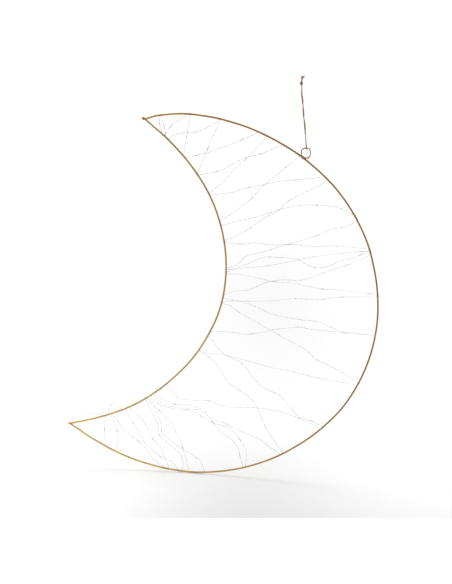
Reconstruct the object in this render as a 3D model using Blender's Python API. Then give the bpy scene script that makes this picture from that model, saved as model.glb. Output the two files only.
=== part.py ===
"""A hanging LED moon: a crescent of two round rods, wound with a fine string of wire LEDs.

The moon's plane is XZ and its front faces -Y. The origin is the centre of the small ring that
it hangs from, and +Z is up. Lengths are in metres and angles in degrees.
"""

import math

import bmesh
import bpy
import numpy as np
from mathutils import Matrix, Vector, geometry

# The two rods of the frame
HOOP_RADIUS = 0.200
ROD_DIAMETER = 0.002
UPPER_TIP_ANGLE = 102.5
LOWER_TIP_ANGLE = -131.4
BELLY = (0.041, 0.037)
BELLY_REACH_UP = 0.081
BELLY_REACH_DOWN = 0.076
UPPER_TIP_REACH = 0.053
UPPER_TIP_HEADING = -41.0
LOWER_TIP_REACH = 0.110
LOWER_TIP_HEADING = 11.0
UPPER_ROD_OVERRUN = 0.0025
LOWER_ROD_OVERRUN = 0.0020
HOOP_STEP = 3.0
INNER_STEPS = 29

# The beads of weld that join the rods at the tips and hold the ring
TIP_WELD_SIZE = (0.0066, 0.0042, 0.0044)
TIP_WELD_INSET = 0.0018
RING_WELD_SIZE = (0.0052, 0.0034, 0.0038)
RING_WELD_RISE = 0.0006

# The hanging ring
RING_OUTER_RADIUS = 0.0058
RING_WIRE = 0.0012
RING_ANGLE = 53.1
RING_BITE = 0.0008
RING_STEPS = 32

# The gap that pieces keep where they touch on the real object
CLEARANCE = 0.0003

# How finely the beads and the cutters are divided, and a cutter's length in bead lengths
LUMP_SEGMENTS = 20
LUMP_RINGS = 12
CUTTER_SEGMENTS = 24
CUTTER_REACH = 4.0

# The LED string: twin wire, a resin drop every LED_PITCH, wound over both rods
STRING_WIRE = 0.0005
STRING_LIFT_GAP = 0.0004
LED_PITCH = 0.050
LED_WIDTH = 0.0019
LED_LENGTH = 0.0044
LED_BODY_SHARE = 0.55
LED_END_ROOM = 0.006
RUN_STEP = 0.018
HALF_TURN = 0.5
WHOLE_TURN = 1.0
HOOK_STEP = 45.0
SMOOTH_STEPS = 8
GAP_SAMPLES = 8
NEIGHBOUR_LENGTH = 0.004
FRONT, BACK = -1, 1

# Each run of the string, in the order it was wound: the angle of its outer end round the hoop,
# the percentage of the inner rod where its inner end lies, counted from the upper tip, the
# distance of its first LED from the hoop, and its bows. A bow is a percentage of the way from the
# hoop to the inner rod, and how far the wire lies to the left of the straight line there.
RUNS = [
    (-118.0, 90.8, 0.020, [(60, 0.0010)]),
    (-114.7, 90.0, 0.024, [(12, -0.0030), (42, -0.0058), (67, -0.0050)]),
    (-97.6, 89.2, 0.044, [(21, 0.0025), (32, -0.0005), (54, 0.0005), (71, 0.0033), (86, 0.0014)]),
    (-96.6, 84.8, 0.038, [(28, -0.0048), (48, -0.0034), (62, -0.0051), (76, -0.0050)]),
    (-93.3, 85.7, 0.026,
     [(14, -0.0010), (24, 0.0040), (33, 0.0064), (54, 0.0086), (70, 0.0052), (85, 0.0024)]),
    (-92.2, 80.0, 0.050,
     [(13, -0.0060), (24, -0.0050), (45, 0.0030), (53, 0.0052), (66, 0.0008), (82, 0.0008)]),
    (-90.0, 79.3, 0.030,
     [(25, -0.0066), (52, -0.0095), (65, -0.0096), (77, -0.0064), (91, -0.0010)]),
    (-85.2, 78.6, 0.019,
     [(12, -0.0033), (24, 0.0009), (39, 0.0085), (53, 0.0130), (60, 0.0136), (70, 0.0085),
      (84, 0.0040)]),
    (-71.9, 78.2, 0.035,
     [(9, -0.0164), (22, -0.0238), (30, -0.0262), (39, -0.0232), (48, -0.0178), (63, -0.0158),
      (73, -0.0072), (80, -0.0026), (90, 0.0028)]),
    (-72.8, 77.0, 0.014,
     [(9, -0.0082), (15, -0.0132), (24, -0.0166), (37, -0.0149), (55, -0.0202), (63, -0.0198),
      (71, -0.0154), (79, -0.0052), (89, -0.0004)]),
    (-43.8, 72.9, 0.026,
     [(10, -0.0036), (27, -0.0057), (44, -0.0012), (60, 0.0066), (72, 0.0062), (84, 0.0119),
      (91, 0.0134), (96, 0.0080)]),
    (-43.2, 57.2, 0.014,
     [(9, 0.0030), (17, 0.0079), (28, 0.0050), (37, 0.0027), (49, 0.0077), (58, 0.0057),
      (69, 0.0012), (78, 0.0036), (86, 0.0050)]),
    (-7.8, 55.8, 0.032,
     [(23, -0.0025), (38, -0.0048), (46, -0.0070), (60, -0.0036), (76, 0.0024), (88, 0.0005)]),
    (-8.3, 47.3, 0.031,
     [(9, 0.0010), (22, 0.0043), (36, -0.0002), (50, 0.0026), (66, 0.0040), (76, 0.0010),
      (87, -0.0015)]),
    (18.2, 46.3, 0.027,
     [(7, 0.0041), (31, 0.0065), (48, 0.0075), (60, 0.0014), (70, 0.0000), (83, 0.0020),
      (92, -0.0006)]),
    (18.5, 40.3, 0.009, [(12, -0.0017), (39, -0.0018), (60, 0.0003), (73, 0.0016), (86, 0.0008)]),
    (28.8, 39.9, 0.045,
     [(9, 0.0018), (19, -0.0012), (31, 0.0001), (54, -0.0020), (70, -0.0030), (82, -0.0052),
      (91, -0.0002)]),
    (30.4, 29.9, 0.041,
     [(6, -0.0049), (13, -0.0102), (30, -0.0147), (45, -0.0149), (56, -0.0120), (70, -0.0074),
      (88, -0.0033)]),
    (54.4, 28.4, 0.018, [(34, 0.0004), (48, 0.0006), (60, 0.0031), (72, 0.0031), (87, 0.0028)]),
    (60.2, 17.2, 0.026, [(26, 0.0013), (44, -0.0007), (61, 0.0014), (74, 0.0033)]),
    (79.8, 16.5, 0.034, [(51, 0.0002), (88, 0.0012)]),
    (80.7, 6.9, 0.029, [(7, 0.0033), (41, 0.0044), (62, 0.0012), (86, -0.0024)]),
    (97.4, 6.4, 0.011, [(50, 0.0006)]),
    (98.2, 5.0, 0.009, [(50, -0.0008)]),
    (89.7, 5.8, 0.022, [(22, -0.0010), (69, -0.0030)]),
    (88.6, 11.8, 0.023, [(24, -0.0007), (70, 0.0003)]),
    (67.9, 12.4, 0.020, [(26, 0.0015), (70, 0.0024)]),
    (65.4, 21.8, 0.033, [(33, 0.0014), (59, 0.0012), (75, 0.0022)]),
    (44.6, 22.4, 0.030, [(21, -0.0017), (39, -0.0028), (68, -0.0015), (79, 0.0006)]),
    (43.8, 33.3, 0.046, [(9, 0.0009), (36, -0.0013), (48, 0.0019), (61, 0.0009), (82, 0.0028)]),
    (19.3, 33.8, 0.034,
     [(23, -0.0017), (40, 0.0000), (50, -0.0012), (67, 0.0005), (79, -0.0009), (89, 0.0012)]),
    (18.9, 40.8, 0.010,
     [(13, 0.0050), (20, 0.0060), (29, 0.0097), (37, 0.0096), (43, 0.0056), (50, -0.0028),
      (62, -0.0077), (72, -0.0102), (84, -0.0057)]),
    (4.9, 41.2, 0.008, [(22, 0.0006), (37, 0.0023), (56, 0.0004), (69, 0.0018), (87, -0.0009)]),
    (4.4, 47.9, 0.037, [(23, -0.0011), (38, 0.0011), (53, -0.0008), (68, 0.0009), (84, 0.0004)]),
    (-24.4, 48.5, 0.049,
     [(18, -0.0006), (30, 0.0016), (40, -0.0018), (58, -0.0014), (86, -0.0011), (94, -0.0021)]),
    (-25.0, 61.2, 0.043, [(25, 0.0020), (42, 0.0012), (54, 0.0020), (84, -0.0003), (94, 0.0024)]),
    (-59.0, 61.8, 0.036,
     [(13, -0.0019), (24, -0.0040), (41, -0.0110), (49, -0.0113), (57, -0.0081), (67, -0.0037),
      (79, -0.0057), (90, -0.0055)]),
    (-59.5, 77.6, 0.016,
     [(10, -0.0026), (19, -0.0056), (38, -0.0044), (46, -0.0055), (54, -0.0037), (66, -0.0062),
      (75, -0.0002), (82, 0.0025), (91, 0.0060)]),
]
# Where the string goes right round a rod it comes out on the side that it came from
WHOLE_TURN_AFTER_RUN = 24
# Where one turn stands off its rod as a loose loop that leans towards the next run
LOOSE_TURN_AFTER_RUN = 2
LOOSE_TURN_REACH = 0.0110
LOOSE_TURN_SPREAD = 0.0052
LOOSE_TURN_DRIFT = 0.0060
# The string's two ends, as shares of the inner rod and distances off it on its hollow side
FEED_END = [(95.2, 0.0073), (93.7, 0.0058), (92.3, 0.0042)]
TAIL_END = [(76.6, 0.0022), (75.4, 0.0030)]

# The twine: a turn through the ring, two legs, a knot and two frayed ends
TWINE = 0.0010
TWINE_LEAN = 5.0
TWINE_HINGE_HEIGHT = 0.0115
TWINE_KNOT_HEIGHT = 0.0712
TWINE_LEG_SWELL = 0.0003
TWINE_LEG_TWISTS = 1.5
TWINE_LEG_STEPS = 24
TWINE_TURN_STEPS = 8
TWINE_RISE_STEPS = 3
KNOT_SIZE = (0.0036, 0.0034, 0.0042)
TWINE_END_LENGTH = 0.0050
TWINE_END_WIDTH = 0.0022
TWINE_END_ROOT = 0.0009
TWINE_END_SPREAD = 16.0
TWINE_END_STEPS = 4

ROD_RADIUS = ROD_DIAMETER / 2
RING_RADIUS = RING_OUTER_RADIUS - RING_WIRE / 2
RING_SEAT = ROD_RADIUS + RING_OUTER_RADIUS - RING_BITE
STRING_LIFT = ROD_RADIUS + STRING_WIRE / 2 + STRING_LIFT_GAP
LOOSE_TURN = (LOOSE_TURN_REACH, LOOSE_TURN_SPREAD, LOOSE_TURN_DRIFT)


def direction(angle):
    """The unit vector in the moon's plane at this angle from +X towards +Z."""
    return Vector((math.cos(math.radians(angle)), 0.0, math.sin(math.radians(angle))))


HOOP_CENTRE = -(HOOP_RADIUS + RING_SEAT) * direction(RING_ANGLE)


# Materials
def material(name, colour, metallic, roughness):
    finish = bpy.data.materials.new(name)
    finish.use_nodes = True
    shader = finish.node_tree.nodes["Principled BSDF"]
    shader.inputs["Base Color"].default_value = (*colour, 1.0)
    shader.inputs["Metallic"].default_value = metallic
    shader.inputs["Roughness"].default_value = roughness
    finish.diffuse_color = (*colour, 1.0)
    return finish


# Modelling helpers
def tube(name, points, diameter, finish, widths=None, sides=8):
    """A round tube of one closed body along the points; widths swells it point by point."""
    curve = bpy.data.curves.new(name, "CURVE")
    curve.dimensions = "3D"
    curve.bevel_depth = diameter / 2
    curve.bevel_resolution = sides // 2 - 2
    curve.use_fill_caps = True
    spline = curve.splines.new("POLY")
    spline.points.add(len(points) - 1)
    for number, point in enumerate(points):
        spline.points[number].co = (*point, 1.0)
        if widths:
            spline.points[number].radius = widths[number] / diameter
    spline.use_smooth = True
    piece = bpy.data.objects.new(name, curve)
    curve.materials.append(finish)
    PARTS.objects.link(piece)
    return piece


def lump(name, centre, size, along, finish):
    """A smooth ellipsoid of this length, height and depth, its length pointing along."""
    mesh = bpy.data.meshes.new(name)
    shape = bmesh.new()
    bmesh.ops.create_uvsphere(
        shape, u_segments=LUMP_SEGMENTS, v_segments=LUMP_RINGS, radius=0.5
    )
    across = Vector((0.0, 1.0, 0.0)).cross(along).normalized()
    turn = Matrix((along.normalized(), across, Vector((0.0, 1.0, 0.0)))).transposed().to_4x4()
    bmesh.ops.transform(shape, matrix=turn @ Matrix.Diagonal((*size, 1.0)), verts=shape.verts)
    bmesh.ops.recalc_face_normals(shape, faces=shape.faces)
    shape.to_mesh(mesh)
    shape.free()
    mesh.shade_smooth()
    piece = bpy.data.objects.new(name, mesh)
    mesh.materials.append(finish)
    piece.location = centre
    PARTS.objects.link(piece)
    return piece


def rod_cutter(name, centre, along, radius, length):
    """A straight cutter that leaves room for a rod."""
    mesh = bpy.data.meshes.new(name)
    shape = bmesh.new()
    bmesh.ops.create_cone(
        shape,
        cap_ends=True,
        segments=CUTTER_SEGMENTS,
        radius1=radius,
        radius2=radius,
        depth=length,
    )
    shape.to_mesh(mesh)
    shape.free()
    cutter = bpy.data.objects.new(name, mesh)
    cutter.rotation_mode = "QUATERNION"
    cutter.rotation_quaternion = along.to_track_quat("Z", "Y")
    cutter.location = centre
    cutter.hide_render = True
    cutter.display_type = "WIRE"
    CUTTERS.objects.link(cutter)
    return cutter


def cut(piece, cutter):
    """Cut the piece by the cutter."""
    modifier = piece.modifiers.new(cutter.name, "BOOLEAN")
    modifier.object = cutter
    modifier.operation = "DIFFERENCE"
    modifier.solver = "EXACT"


# The frame's geometry
def hoop_point(angle):
    return HOOP_CENTRE + HOOP_RADIUS * direction(angle)


def inner_rod_line():
    """Points of the inner rod's centreline from the upper tip to the lower one, and their run."""
    belly = HOOP_CENTRE + Vector((BELLY[0], 0.0, BELLY[1]))
    upper = hoop_point(UPPER_TIP_ANGLE)
    lower = hoop_point(LOWER_TIP_ANGLE)
    rise = Vector((0.0, 0.0, 1.0))
    above = geometry.interpolate_bezier(
        upper,
        upper + UPPER_TIP_REACH * direction(UPPER_TIP_HEADING),
        belly + BELLY_REACH_UP * rise,
        belly,
        INNER_STEPS,
    )
    below = geometry.interpolate_bezier(
        belly,
        belly - BELLY_REACH_DOWN * rise,
        lower + LOWER_TIP_REACH * direction(LOWER_TIP_HEADING),
        lower,
        INNER_STEPS,
    )
    return above + below[1:]


def travelled(points):
    """The distance along the points to each of them."""
    run = [0.0]
    for before, after in zip(points, points[1:]):
        run.append(run[-1] + (after - before).length)
    return run


def along_line(points, run, distance):
    """The point at this distance along the points, and the direction there."""
    number = 1
    while number < len(points) - 1 and run[number] < distance:
        number += 1
    before, after = points[number - 1], points[number]
    share = (distance - run[number - 1]) / (run[number] - run[number - 1])
    return before.lerp(after, share), (after - before).normalized()


def butt_setback(meeting_angle):
    """How far short of the other rod's centreline a rod that butts against it ends."""
    angle = math.radians(meeting_angle)
    return (ROD_RADIUS * (1 + math.cos(angle)) + CLEARANCE) / math.sin(angle)


INNER_LINE = inner_rod_line()
INNER_RUN = travelled(INNER_LINE)
UPPER_MEETING = UPPER_TIP_ANGLE - 90.0 - UPPER_TIP_HEADING
LOWER_MEETING = LOWER_TIP_HEADING - (LOWER_TIP_ANGLE + 90.0)


def build_rods(gold):
    """The hoop butts on the inner rod at the upper tip, and the inner rod on it at the lower."""
    first = UPPER_TIP_ANGLE - math.degrees(butt_setback(UPPER_MEETING) / HOOP_RADIUS)
    sweep = LOWER_TIP_ANGLE - math.degrees(LOWER_ROD_OVERRUN / HOOP_RADIUS) - first
    steps = round(abs(sweep) / HOOP_STEP)
    hoop = [hoop_point(first + sweep * step / steps) for step in range(steps + 1)]
    tube("outer_arc", hoop, ROD_DIAMETER, gold)

    overrun = INNER_LINE[0] - UPPER_ROD_OVERRUN * direction(UPPER_TIP_HEADING)
    last = INNER_RUN[-1] - butt_setback(LOWER_MEETING)
    kept = [point for point, run in zip(INNER_LINE, INNER_RUN) if 0.0 < run < last - ROD_DIAMETER]
    end = along_line(INNER_LINE, INNER_RUN, last)[0]
    tube("inner_arc", [overrun, *kept, end], ROD_DIAMETER, gold)


def build_tip_weld(name, tip, hoop_heading, rod_heading, weld):
    """A bead of weld in the crotch of two rods, with a channel for each."""
    middle = (direction(hoop_heading) + direction(rod_heading)).normalized()
    bead = lump(name, tip + TIP_WELD_INSET * middle, TIP_WELD_SIZE, middle, weld)
    for side, heading in (("hoop", hoop_heading), ("rod", rod_heading)):
        channel = rod_cutter(
            f"{name}_{side}_room",
            tip,
            direction(heading),
            ROD_RADIUS + CLEARANCE,
            CUTTER_REACH * TIP_WELD_SIZE[0],
        )
        cut(bead, channel)


def build_ring(brass, weld):
    """A ring of wire whose two ends stop on the hoop, and the bead of weld between them."""
    open_half = math.degrees(math.acos(1 - (RING_BITE + CLEARANCE) / RING_OUTER_RADIUS))
    start = RING_ANGLE + 180.0 + open_half
    sweep = 360.0 - 2 * open_half
    angles = [start + sweep * step / RING_STEPS for step in range(RING_STEPS + 1)]
    tube("hanging_ring", [RING_RADIUS * direction(angle) for angle in angles], RING_WIRE, brass)

    out = direction(RING_ANGLE)
    along = direction(RING_ANGLE + 90.0)
    seat = -RING_SEAT * out
    bead = lump("ring_weld", seat + RING_WELD_RISE * out, RING_WELD_SIZE, along, weld)
    length = CUTTER_REACH * RING_WELD_SIZE[0]
    cut(bead, rod_cutter("ring_weld_room", seat, along, ROD_RADIUS + CLEARANCE, length))


# The LED string
def inner_seat(percent):
    """The point at this share of the inner rod, and the direction off it into the hollow."""
    point, heading = along_line(INNER_LINE, INNER_RUN, INNER_RUN[-1] * percent / 100)
    return point, Vector((heading.z, 0.0, -heading.x))


def smooth(points):
    """Catmull-Rom points through the given ones."""
    line = [2 * points[0] - points[1], *points, 2 * points[-1] - points[-2]]
    out = []
    for a, b, c, d in zip(line, line[1:], line[2:], line[3:]):
        for step in range(SMOOTH_STEPS):
            t = step / SMOOTH_STEPS
            bend = (2 * a - 5 * b + 4 * c - d) * t**2 + (3 * b - a - 3 * c + d) * t**3
            out.append(0.5 * (2 * b + (c - a) * t + bend))
    return [*out, points[-1]]


def run_points(run, side):
    """One run from the hoop to the inner rod: its points and the tube's width at each."""
    angle, percent, first_led, bows = run
    lift = Vector((0.0, side * STRING_LIFT, 0.0))
    start = hoop_point(angle) + lift
    end = inner_seat(percent)[0] + lift
    left = Vector((0.0, -1.0, 0.0)).cross(end - start).normalized()
    route = [start, *(start.lerp(end, share / 100) + bow * left for share, bow in bows), end]
    line = smooth(route)
    run_along = travelled(line)
    length = run_along[-1]

    leds = []
    while first_led + len(leds) * LED_PITCH < length - LED_END_ROOM:
        leds.append(first_led + len(leds) * LED_PITCH)
    half = LED_LENGTH / 2
    stops = [(0.0, STRING_WIRE), (length, STRING_WIRE)]
    for led in leds:
        body = half * LED_BODY_SHARE
        stops += [(led - half, STRING_WIRE), (led - body, LED_WIDTH)]
        stops += [(led + body, LED_WIDTH), (led + half, STRING_WIRE)]
    steps = max(2, round(length / RUN_STEP))
    for step in range(1, steps):
        distance = length * step / steps
        if all(abs(distance - led) > LED_LENGTH for led in leds):
            stops.append((distance, STRING_WIRE))
    stops.sort()
    points = [along_line(line, run_along, distance)[0] for distance, _ in stops]
    return points, [width for _, width in stops]


def hook_points(start, end, away, side, turns=HALF_TURN, reach=0.0, spread=0.0, drift=0.0):
    """Points of the string round a rod, from the end of one run to the start of the next.

    A loose turn's middle stands off by reach and leans along the rod by drift, and its sides
    bulge by spread.
    """
    steps = round(360.0 * turns / HOOK_STEP)
    along = (end - start).normalized()
    points = []
    for step in range(1, steps):
        turn = 2 * math.pi * turns * step / steps
        out = max(STRING_LIFT, reach) if math.sin(turn) > 0 else STRING_LIFT
        bulge = (drift * math.sin(turn) - spread * math.sin(2 * turn)) * along
        lift = Vector((0.0, side * STRING_LIFT * math.cos(turn), 0.0))
        points.append(start.lerp(end, step / steps) + out * math.sin(turn) * away + bulge + lift)
    return points


def end_points(stations, side):
    """The free end of the string beside the inner rod."""
    points = []
    for percent, off in stations:
        seat, away = inner_seat(percent)
        points.append(seat + off * away + Vector((0.0, side * STRING_LIFT, 0.0)))
    return points


def string_route():
    """The string's centreline from its feed end to its tail, and the tube's width at each point."""
    side = FRONT
    points = end_points(FEED_END, side)
    widths = [STRING_WIRE] * len(points)
    outwards = True
    for number, run in enumerate(RUNS, start=1):
        line, line_widths = run_points(run, side)
        if outwards:
            line.reverse()
            line_widths.reverse()
        points += line
        widths += line_widths
        if number == len(RUNS):
            break
        following = RUNS[number]
        turns = WHOLE_TURN if number == WHOLE_TURN_AFTER_RUN else HALF_TURN
        loose = LOOSE_TURN if number == LOOSE_TURN_AFTER_RUN else ()
        if outwards:
            start, end = hoop_point(run[0]), hoop_point(following[0])
            away = direction((run[0] + following[0]) / 2)
        else:
            start, end = inner_seat(run[1])[0], inner_seat(following[1])[0]
            away = inner_seat((run[1] + following[1]) / 2)[1]
        hook = hook_points(start, end, away, side, turns, *loose)
        points += hook
        widths += [STRING_WIRE] * len(hook)
        outwards = not outwards
        if turns == HALF_TURN:
            side = -side
    last_seat, last_away = inner_seat(RUNS[-1][1])
    tail = hook_points(last_seat, inner_seat(TAIL_END[0][0])[0], last_away, side)
    tail += end_points(TAIL_END, -side)
    return points + tail, widths + [STRING_WIRE] * len(tail)


def least_gap(points, widths):
    """The least gap between two stretches of the tube that aren't neighbours along it."""
    line = np.array([tuple(point) for point in points])
    half = np.array(widths)[:, None] / 2
    share = np.linspace(0.0, 1.0, GAP_SAMPLES, endpoint=False)[None, :, None]
    dense = (line[:-1, None] * (1 - share) + line[1:, None] * share).reshape(-1, 3)
    thick = (half[:-1] * (1 - share[..., 0]) + half[1:] * share[..., 0]).reshape(-1)
    run = np.concatenate([[0.0], np.cumsum(np.linalg.norm(np.diff(dense, axis=0), axis=1))])
    least = math.inf
    for number, here in enumerate(dense):
        first = np.searchsorted(run, run[number] + NEIGHBOUR_LENGTH)
        if first < len(dense):
            apart = np.linalg.norm(dense[first:] - here, axis=1) - thick[first:] - thick[number]
            least = min(least, apart.min())
    return least


def build_string(silver):
    """The wire with its resin drops, as one unbroken tube."""
    points, widths = string_route()
    tube("led_string", points, STRING_WIRE, silver, widths, sides=6)
    length = travelled(points)[-1]
    print(f"led_string: {length:.2f} m of wire, least gap {least_gap(points, widths) * 1000:.2f} mm")


# The twine
def lean(point):
    """Turn a point of the upright twine about the ring's centre, to the lean that it hangs at."""
    return Matrix.Rotation(math.radians(-TWINE_LEAN), 3, "Y") @ point


def build_twine(jute):
    """The turn through the ring, the two legs, the knot and the frayed ends."""
    legs_apart = TWINE / 2 + CLEARANCE / 2
    turn_radius = RING_WIRE / 2 + CLEARANCE + TWINE / 2
    top = TWINE_HINGE_HEIGHT - TWINE / 2 - CLEARANCE
    half_turn = []
    for step in range(TWINE_TURN_STEPS + 1):
        angle = math.radians(90.0 * step / TWINE_TURN_STEPS)
        height = RING_RADIUS - turn_radius * math.cos(angle)
        half_turn.append(Vector((0.0, -turn_radius * math.sin(angle), height)))
    for step in range(1, TWINE_RISE_STEPS + 1):
        share = step / TWINE_RISE_STEPS
        height = RING_RADIUS + (top - RING_RADIUS) * share
        half_turn.append(Vector((-legs_apart * share, -turn_radius * (1 - share), height)))
    other_half = [Vector((-point.x, -point.y, point.z)) for point in half_turn]
    turn = [*reversed(half_turn), *other_half[1:]]
    tube("twine_turn", [lean(point) for point in turn], TWINE, jute)

    foot = TWINE_HINGE_HEIGHT
    knot_bottom = TWINE_KNOT_HEIGHT - KNOT_SIZE[0] / 2
    head = knot_bottom - CLEARANCE - TWINE / 2
    for name, hand in (("twine_leg_left", -1), ("twine_leg_right", 1)):
        leg = []
        for step in range(TWINE_LEG_STEPS + 1):
            share = step / TWINE_LEG_STEPS
            apart = legs_apart + TWINE_LEG_SWELL * math.sin(math.pi * share)
            angle = 2 * math.pi * TWINE_LEG_TWISTS * share
            offset = Vector((hand * apart * math.cos(angle), hand * apart * math.sin(angle), 0.0))
            leg.append(offset + Vector((0.0, 0.0, foot + (head - foot) * share)))
        tube(name, [lean(point) for point in leg], TWINE, jute)

    up = lean(Vector((0.0, 0.0, 1.0)))
    lump("twine_knot", lean(Vector((0.0, 0.0, TWINE_KNOT_HEIGHT))), KNOT_SIZE, up, jute)
    for name, hand in (("twine_end_left", -1), ("twine_end_right", 1)):
        tilt = Matrix.Rotation(math.radians(hand * TWINE_END_SPREAD), 3, "Y")
        foot_height = TWINE_KNOT_HEIGHT + KNOT_SIZE[0] / 2 + CLEARANCE
        root = Vector((hand * TWINE_END_ROOT, 0.0, foot_height))
        line = []
        widths = []
        for step in range(TWINE_END_STEPS + 1):
            share = step / TWINE_END_STEPS
            line.append(lean(root + tilt @ Vector((0.0, 0.0, TWINE_END_LENGTH * share))))
            widths.append(TWINE + (TWINE_END_WIDTH - TWINE) * math.sin(math.pi / 2 * share))
        tube(name, line, TWINE, jute, widths)


def main():
    gold = material("gold_rod", (0.56, 0.36, 0.17), 1.0, 0.32)
    brass = material("ring_wire", (0.45, 0.33, 0.22), 1.0, 0.35)
    weld = material("weld_bead", (0.66, 0.45, 0.22), 1.0, 0.38)
    silver = material("string_wire", (0.75, 0.75, 0.73), 1.0, 0.30)
    jute = material("jute_twine", (0.42, 0.29, 0.19), 0.0, 0.90)
    build_rods(gold)
    for name, angle, hoop_turn, rod_heading in (
        ("upper_tip_weld", UPPER_TIP_ANGLE, -90.0, UPPER_TIP_HEADING),
        ("lower_tip_weld", LOWER_TIP_ANGLE, 90.0, LOWER_TIP_HEADING),
    ):
        build_tip_weld(name, hoop_point(angle), angle + hoop_turn, rod_heading, weld)
    build_ring(brass, weld)
    build_string(silver)
    build_twine(jute)


for old in list(bpy.data.objects):
    bpy.data.objects.remove(old, do_unlink=True)
PARTS = bpy.data.collections.new("hanging_led_moon")
CUTTERS = bpy.data.collections.new("cutters")
bpy.context.scene.collection.children.link(PARTS)
bpy.context.scene.collection.children.link(CUTTERS)
main()
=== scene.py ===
# %% [markdown]
# # A hanging LED moon
#
# The object is a crescent frame of two bent steel rods, wound with a fine wire light string. It
# hangs by a small ring and a loop of jute twine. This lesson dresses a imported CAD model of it:
# each thin piece is made again in full detail, on the place where the CAD has it or close to it.
#
# Lengths are in metres, except where a comment says millimetres. The moon lies in the XZ plane,
# its front faces -Y, and the origin is the centre of the ring's eye.

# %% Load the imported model
import math
import random
from bisect import bisect_left

import bmesh
import bpy
from mathutils import Matrix, Vector, geometry, noise


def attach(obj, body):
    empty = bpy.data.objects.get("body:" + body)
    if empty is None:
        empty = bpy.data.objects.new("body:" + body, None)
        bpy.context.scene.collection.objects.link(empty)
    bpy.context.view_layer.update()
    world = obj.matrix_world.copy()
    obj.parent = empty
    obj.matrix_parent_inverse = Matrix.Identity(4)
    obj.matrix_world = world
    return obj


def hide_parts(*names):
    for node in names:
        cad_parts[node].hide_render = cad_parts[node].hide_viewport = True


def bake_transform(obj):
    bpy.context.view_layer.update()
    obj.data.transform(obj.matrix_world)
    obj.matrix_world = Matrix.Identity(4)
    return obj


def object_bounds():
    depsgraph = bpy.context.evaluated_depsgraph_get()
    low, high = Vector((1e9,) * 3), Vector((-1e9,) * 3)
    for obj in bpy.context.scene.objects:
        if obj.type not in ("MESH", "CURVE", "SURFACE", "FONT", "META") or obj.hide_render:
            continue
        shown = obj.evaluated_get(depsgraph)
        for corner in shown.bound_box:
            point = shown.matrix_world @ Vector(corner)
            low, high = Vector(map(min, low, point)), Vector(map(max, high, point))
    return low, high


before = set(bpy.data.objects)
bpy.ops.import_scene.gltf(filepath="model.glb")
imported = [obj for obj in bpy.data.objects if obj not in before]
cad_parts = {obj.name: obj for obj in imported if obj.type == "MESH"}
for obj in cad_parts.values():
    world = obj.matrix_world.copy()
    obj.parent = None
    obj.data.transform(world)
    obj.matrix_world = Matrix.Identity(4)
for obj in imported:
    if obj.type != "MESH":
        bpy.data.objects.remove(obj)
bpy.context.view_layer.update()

# %% [markdown]
# ## Sizes of the frame
#
# Most of these are the sizes that the CAD was built from. The rods' thickness, the ring's place
# and the rods' ends were fitted to the photograph once more. The hoop is nearly a true circle. The
# inner rod is a flatter curve of two Bezier pieces that meet at the belly of the crescent, where
# it runs straight down. Both horns are brazed.

# %% Sizes of the frame
HOOP_RADIUS = 0.200
ROD_RADIUS = 0.0009
UPPER_TIP_ANGLE = 102.4
LOWER_TIP_ANGLE = -131.3
HOOP_OVERRUN = 0.0022
INNER_OVERRUN = 0.0022
BELLY = (0.041, 0.037)
BELLY_REACH_UP = 0.081
BELLY_REACH_DOWN = 0.076
UPPER_TIP_REACH = 0.053
UPPER_TIP_HEADING = -41.0
LOWER_TIP_REACH = 0.110
LOWER_TIP_HEADING = 11.0
RING_OUTER_RADIUS = 0.0058
RING_WIRE = 0.0012
RING_ANGLE = 53.5
RING_BITE = 0.0010
RING_RADIUS = RING_OUTER_RADIUS - RING_WIRE / 2
FRONT = Vector((0.0, -1.0, 0.0))
MM_PER_METRE = 1000.0

# %% Hand bending
# A hoop that was bent by hand is out of round by less than a rod's thickness. Each pair is an
# angle round the hoop and how many millimetres the rod lies outside the true circle there.
HOOP_WAVES = [
    (-134.0, 1.8), (-131.3, 1.5), (-127.5, 0.4), (-119.0, -0.4), (-104.0, -0.2), (-96.0, 0.2),
    (-88.0, 0.7), (-80.0, 0.4), (-65.0, -0.1), (-54.0, -0.6), (-42.0, -0.2), (-34.0, 0.5),
    (-18.0, 0.3), (-5.0, 0.2), (5.0, -0.1), (13.0, -0.1), (21.0, 0.6), (38.0, 0.6),
    (52.0, -0.4), (63.0, -0.9), (75.0, -0.4), (83.0, 0.3), (91.0, 1.1), (98.5, 0.5),
    (102.4, -1.1), (104.0, -1.5),
]
# The inner rod: a percentage of its length, and the millimetres it lies right of its curve
INNER_WAVES = [
    (0.0, 0.0), (2.0, 0.0), (6.0, 0.8), (11.0, 0.6), (18.0, 0.3), (23.0, 0.2), (28.0, -0.1),
    (36.0, 0.0), (43.0, -0.3), (52.0, 0.2), (57.0, 0.0), (64.0, 0.2), (72.0, -0.2), (77.0, 0.0),
    (82.0, 0.2), (86.0, 0.0), (90.0, -0.5), (94.0, -0.7), (98.0, -0.5), (100.0, 0.0),
]


def eased(share):
    """A share from 0 to 1, with a soft start and a soft end."""
    return 3 * share**2 - 2 * share**3


def wave(stations, place):
    """The offset in metres at this place, eased between the two stations round it."""
    place = min(max(place, stations[0][0]), stations[-1][0])
    for (low, first), (high, last) in zip(stations, stations[1:]):
        if place <= high:
            share = (place - low) / (high - low)
            return (first + (last - first) * eased(share)) / MM_PER_METRE


def direction(angle):
    """The unit vector in the moon's plane at this angle from +X towards +Z."""
    return Vector((math.cos(math.radians(angle)), 0.0, math.sin(math.radians(angle))))


RING_SEAT = ROD_RADIUS + RING_OUTER_RADIUS - RING_BITE
ring_reach = HOOP_RADIUS + wave(HOOP_WAVES, RING_ANGLE) + RING_SEAT
HOOP_CENTRE = -ring_reach * direction(RING_ANGLE)


def hoop_point(angle):
    return HOOP_CENTRE + (HOOP_RADIUS + wave(HOOP_WAVES, angle)) * direction(angle)


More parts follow.
